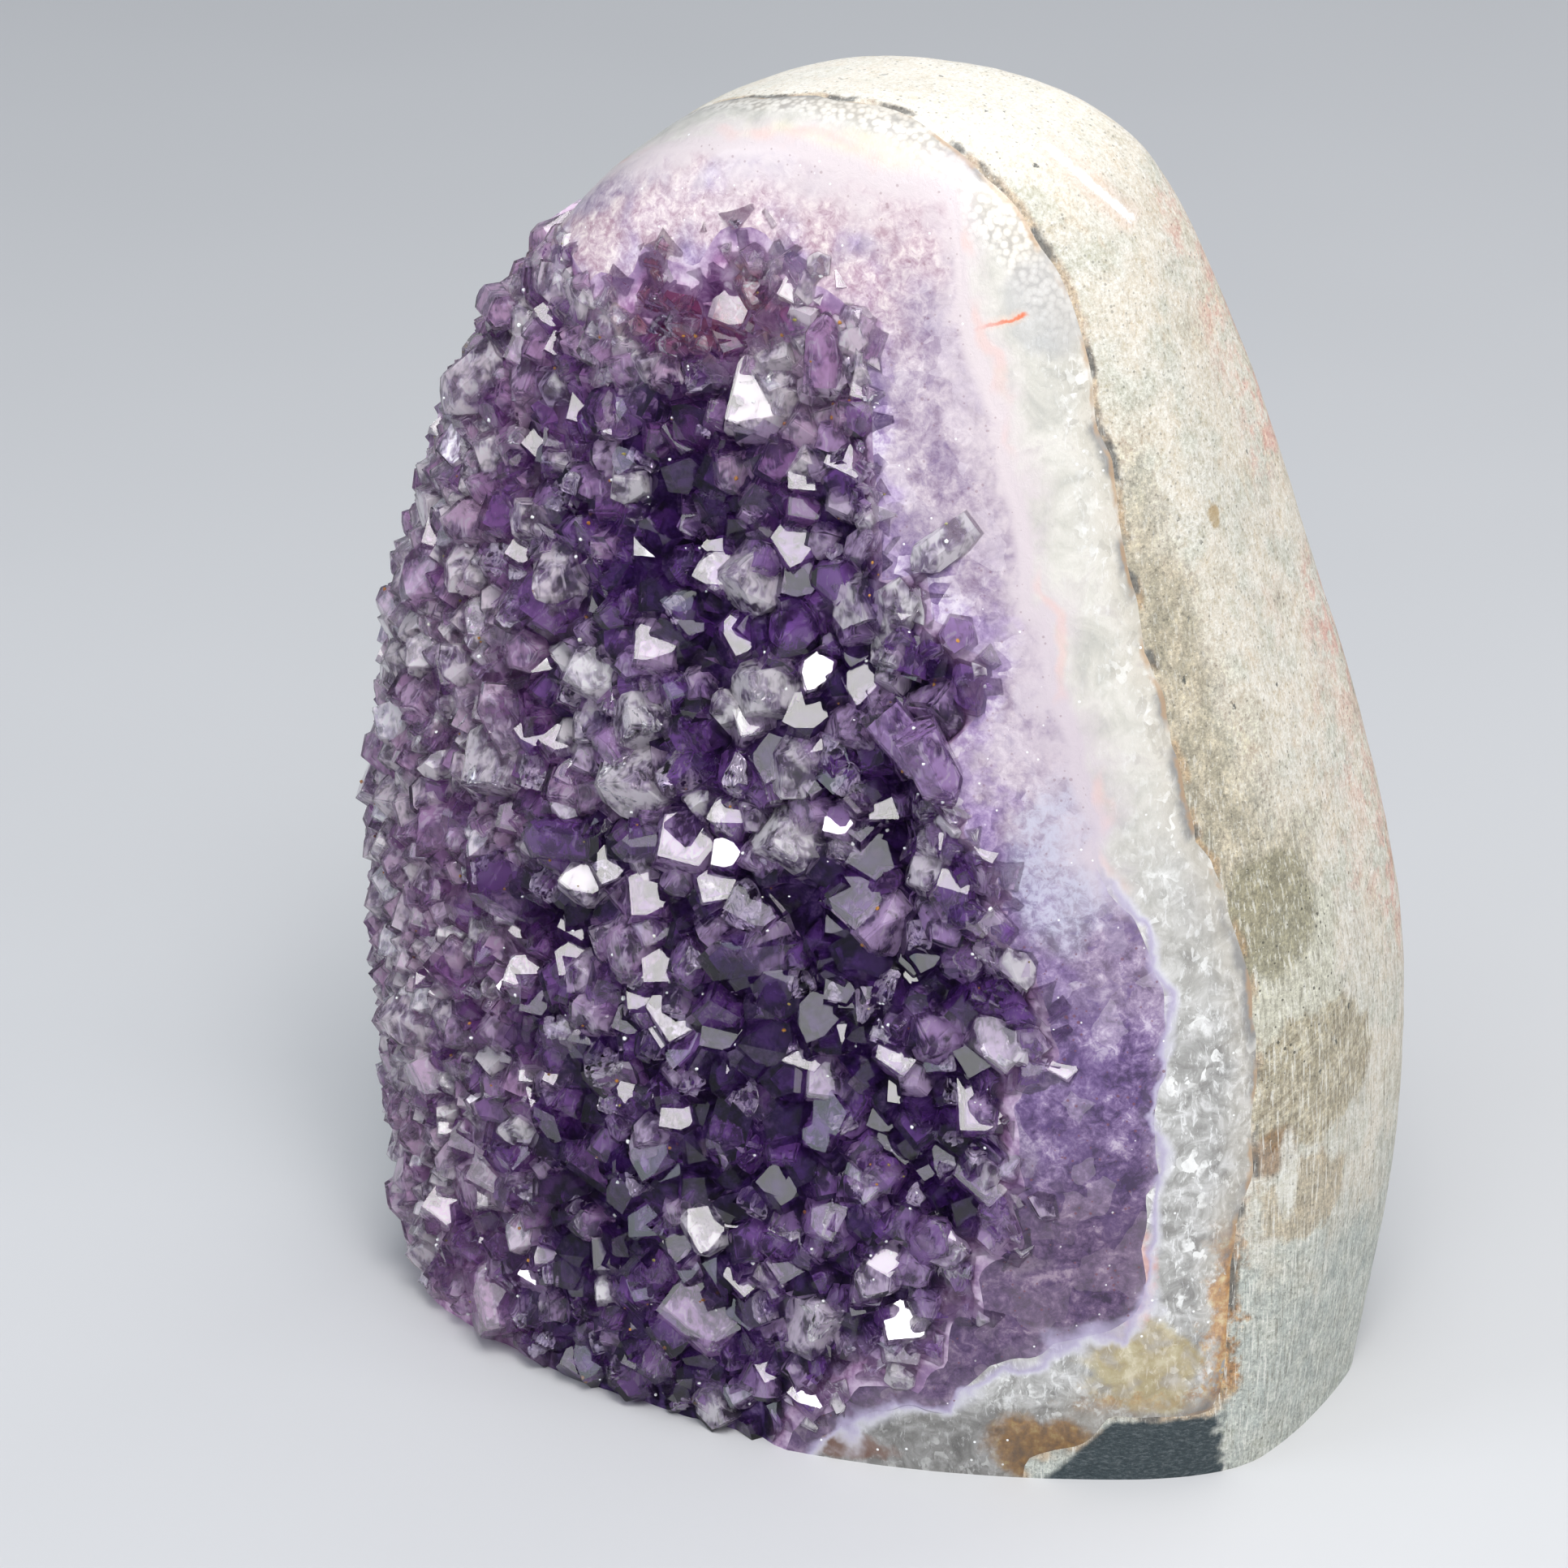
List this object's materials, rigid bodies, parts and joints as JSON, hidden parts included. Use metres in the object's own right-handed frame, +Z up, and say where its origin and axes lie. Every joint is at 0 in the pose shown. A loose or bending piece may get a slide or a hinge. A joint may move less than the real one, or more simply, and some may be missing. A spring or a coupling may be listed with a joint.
{
  "type": "amethyst geode",
  "caption": "Free-standing cut-base amethyst geode: ground basalt back, white quartz band, polished violet rim and an open bed of grown-together amethyst crystals.",
  "frame": {"origin": "middle of the footprint box, on the flat cut base", "axes": "+Z up, +Y towards the rounded rock back, so the crystal face looks along -Y; +X towards the thick rock side"},
  "size_m": [0.0932, 0.056, 0.1159],
  "materials": {
    "basalt": "ground smooth, matt to satin, with fine grinding marks and small pits",
    "quartz": "polished, translucent white, iron stained at the foot",
    "amethyst": "clear violet crystal with glassy facets, polished on the rim"
  },
  "bodies": {
    "root": {"basalt_matrix": "basalt", "quartz_band": "quartz", "amethyst_druse": "amethyst"}
  },
  "joints": []
}
